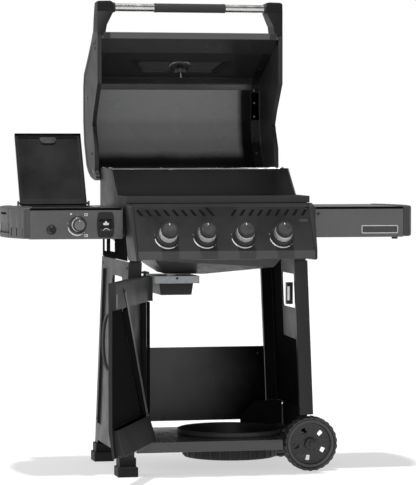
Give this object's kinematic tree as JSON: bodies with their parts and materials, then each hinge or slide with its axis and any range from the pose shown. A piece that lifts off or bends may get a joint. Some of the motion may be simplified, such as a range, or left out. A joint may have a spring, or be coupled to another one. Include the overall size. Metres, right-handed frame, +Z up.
{
  "type": "gas barbecue grill",
  "caption": "Four-burner gas barbecue grill on a two-wheeled cart, with a side burner, two side shelves, a cupboard door and both lids standing open.",
  "frame": {"origin": "centre of the whole grill's box, on the floor", "axes": "+Z up, +Y towards the back, +X to the right of someone standing in front"},
  "size_m": [1.424, 1.2346, 1.622],
  "materials": {
    "aluminised_sheet": "spangled galvanised sheet",
    "black_painted_steel": "satin black enamel, slightly mottled",
    "black_plastic": "fine moulded grain",
    "boot_plastic": "plain moulded",
    "brass_rail": "dull",
    "burner_steel": "plain",
    "cast_grid": "enamelled, fine pits",
    "chrome_wire": "polished",
    "dial_steel": "bright rim, pale dial",
    "firebox_enamel": "heat-proof black paint, fine texture",
    "grip_rubber": "matt",
    "handle_steel": "fine brushed along the bar",
    "shelf_grey_metallic": "dark silver-grey metallic paint with a fine grain",
    "tray_steel": "dark enamel",
    "tyre_rubber": "worn matt",
    "wheel_plastic": "moulded, slightly glossy"
  },
  "bodies": {
    "cart": {"axle": "burner_steel", "axle_carrier": "black_painted_steel", "bottom_shelf": "black_painted_steel", "burner_tube_1": "burner_steel", "burner_tube_2": "burner_steel", "burner_tube_3": "burner_steel", "burner_tube_4": "burner_steel", "control_panel": "black_painted_steel", "cooking_grid_left": "cast_grid", "cooking_grid_right": "cast_grid", "cradle_bracket_left": "black_painted_steel", "cradle_bracket_right": "black_painted_steel", "door_catch": "black_plastic", "door_hinge_bracket": "black_painted_steel", "drip_tray_holder": "aluminised_sheet", "firebox": "firebox_enamel", "foot_boot_front": "boot_plastic", "foot_boot_rear": "boot_plastic", "gas_manifold": "brass_rail", "grease_funnel": "aluminised_sheet", "heat_plate_1": "burner_steel", "heat_plate_2": "burner_steel", "heat_plate_3": "burner_steel", "heat_plate_4": "burner_steel", "left_shelf": "shelf_grey_metallic", "left_shelf_end_cap": "black_plastic", "panel_cap_left": "black_plastic", "panel_cap_right": "black_plastic", "rear_panel": "black_painted_steel", "right_shelf_bracket": "black_painted_steel", "side_burner": "tray_steel", "side_burner_grate": "cast_grid", "side_frame_left": "black_painted_steel", "side_frame_right": "black_painted_steel", "tank_cup": "black_painted_steel", "warming_rack": "chrome_wire"},
    "lid": {"lid_shell": "black_painted_steel", "lid_cap_left": "black_plastic", "lid_cap_right": "black_plastic", "handle_tube": "handle_steel", "handle_grip": "grip_rubber", "lid_thermometer": "dial_steel"},
    "side_lid": {"side_burner_lid": "black_painted_steel"},
    "door": {"door_panel": "black_painted_steel", "door_bin": "black_painted_steel", "door_handle": "black_painted_steel"},
    "folding_shelf": {"right_shelf": "shelf_grey_metallic", "right_shelf_end_cap": "black_plastic"},
    "drip_pan": {"drip_tray": "tray_steel"},
    "wheel_front": {"wheel_front": "wheel_plastic", "tyre_front": "tyre_rubber"},
    "wheel_rear": {"wheel_rear": "wheel_plastic", "tyre_rear": "tyre_rubber"},
    "igniter": {"igniter_button": "black_plastic"},
    "rocker": {"ignition_rocker": "black_plastic"},
    "side_knob": {"side_burner_knob": "black_plastic"},
    "knob_1": {"knob_1": "black_plastic"},
    "knob_2": {"knob_2": "black_plastic"},
    "knob_3": {"knob_3": "black_plastic"},
    "knob_4": {"knob_4": "black_plastic"}
  },
  "joints": [
    {"name": "lid_hinge", "type": "hinge", "parent": "cart", "child": "lid", "pos_m": [0, 0.3983, 1.022], "axis": [1, 0, 0], "range_deg": [0, 90]},
    {"name": "side_lid_hinge", "type": "hinge", "parent": "cart", "child": "side_lid", "pos_m": [-0.505, 0.2253, 0.9115], "axis": [1, 0, 0], "range_deg": [0, 117]},
    {"name": "door_hinge", "type": "hinge", "parent": "cart", "child": "door", "pos_m": [-0.2535, -0.1337, 0.4], "axis": [0, 0, 1], "range_deg": [0, 113]},
    {"name": "shelf_fold", "type": "hinge", "parent": "cart", "child": "folding_shelf", "pos_m": [0.345, 0.0623, 0.813], "axis": [0, 1, 0], "range_deg": [0, 88]},
    {"name": "drip_pan_slide", "type": "slide", "parent": "cart", "child": "drip_pan", "axis": [0, 1, 0], "range_m": [0, 0.22]},
    {"name": "wheel_front_spin", "type": "hinge", "parent": "cart", "child": "wheel_front", "pos_m": [0.328, -0.0937, 0.094], "axis": [0, 1, 0], "continuous": true},
    {"name": "wheel_rear_spin", "type": "hinge", "parent": "cart", "child": "wheel_rear", "pos_m": [0.328, 0.3303, 0.094], "axis": [0, 1, 0], "continuous": true},
    {"name": "igniter_press", "type": "slide", "parent": "cart", "child": "igniter", "axis": [0, 1, 0], "range_m": [0, 0.004], "stiffness_N_per_m": 800, "springref_m": -0.0005},
    {"name": "rocker_press", "type": "slide", "parent": "cart", "child": "rocker", "axis": [0, 1, 0], "range_m": [0, 0.003], "stiffness_N_per_m": 800, "springref_m": -0.0005},
    {"name": "side_knob_turn", "type": "hinge", "parent": "cart", "child": "side_knob", "pos_m": [-0.482, -0.1667, 0.848], "axis": [0, -1, 0], "range_deg": [0, 130]},
    {"name": "knob_1_turn", "type": "hinge", "parent": "cart", "child": "knob_1", "pos_m": [-0.19575, -0.23834, 0.81038], "axis": [0, -0.8627, 0.5057], "range_deg": [0, 130]},
    {"name": "knob_2_turn", "type": "hinge", "parent": "cart", "child": "knob_2", "pos_m": [-0.06525, -0.23834, 0.81038], "axis": [0, -0.8627, 0.5057], "range_deg": [0, 130]},
    {"name": "knob_3_turn", "type": "hinge", "parent": "cart", "child": "knob_3", "pos_m": [0.06525, -0.23834, 0.81038], "axis": [0, -0.8627, 0.5057], "range_deg": [0, 130]},
    {"name": "knob_4_turn", "type": "hinge", "parent": "cart", "child": "knob_4", "pos_m": [0.19575, -0.23834, 0.81038], "axis": [0, -0.8627, 0.5057], "range_deg": [0, 130]}
  ]
}
